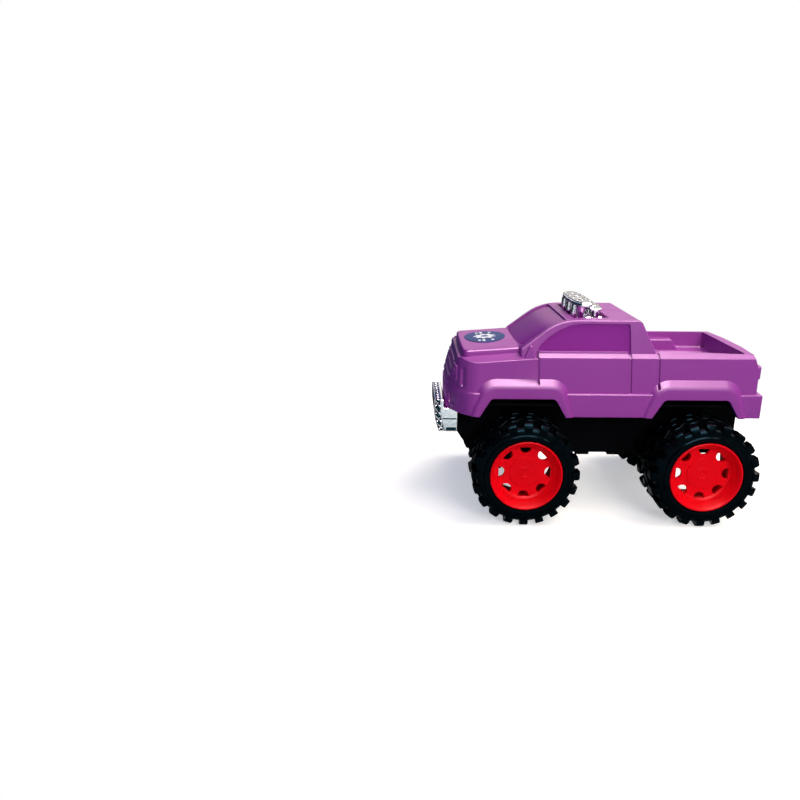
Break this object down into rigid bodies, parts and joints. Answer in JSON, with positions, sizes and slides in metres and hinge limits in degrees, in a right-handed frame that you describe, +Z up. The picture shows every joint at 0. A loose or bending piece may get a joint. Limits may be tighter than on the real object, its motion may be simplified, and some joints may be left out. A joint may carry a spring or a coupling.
{
  "type": "toy monster pickup truck",
  "caption": "Toy monster pickup: moulded body shell with open bed on a deep chassis tub, plated push bar and roof engine, large lugged tyres on free-rolling axles.",
  "frame": {"origin": "on the ground, at the middle of the overall length and of the width", "axes": "+X forward, +Y to the truck's left, +Z up"},
  "size_m": [0.206, 0.13, 0.1355],
  "materials": {
    "body_plastic": "glossy moulded purple",
    "chassis_plastic": "satin moulded black",
    "plating": "vacuum-plated bright",
    "badge_film": "printed glossy film, blue with a plain pale emblem",
    "axle_steel": "drawn bright rod",
    "rim_plastic": "glossy moulded red",
    "tyre_rubber": "soft glossy black"
  },
  "bodies": {
    "truck": {"body_shell": "body_plastic", "chassis": "chassis_plastic", "push_bar": "plating", "roof_engine": "plating", "hood_badge": "badge_film"},
    "front_wheelset": {"front_axle": "axle_steel", "rim_front_left": "rim_plastic", "rim_front_right": "rim_plastic", "tyre_front_left": "tyre_rubber", "tyre_front_right": "tyre_rubber"},
    "rear_wheelset": {"rear_axle": "axle_steel", "rim_rear_left": "rim_plastic", "rim_rear_right": "rim_plastic", "tyre_rear_left": "tyre_rubber", "tyre_rear_right": "tyre_rubber"}
  },
  "joints": [
    {"name": "front_axle_spin", "type": "hinge", "parent": "truck", "child": "front_wheelset", "pos_m": [0.0475, 0, 0.0335], "axis": [0, 1, 0], "continuous": true},
    {"name": "rear_axle_spin", "type": "hinge", "parent": "truck", "child": "rear_wheelset", "pos_m": [-0.0625, 0, 0.0335], "axis": [0, 1, 0], "continuous": true}
  ]
}
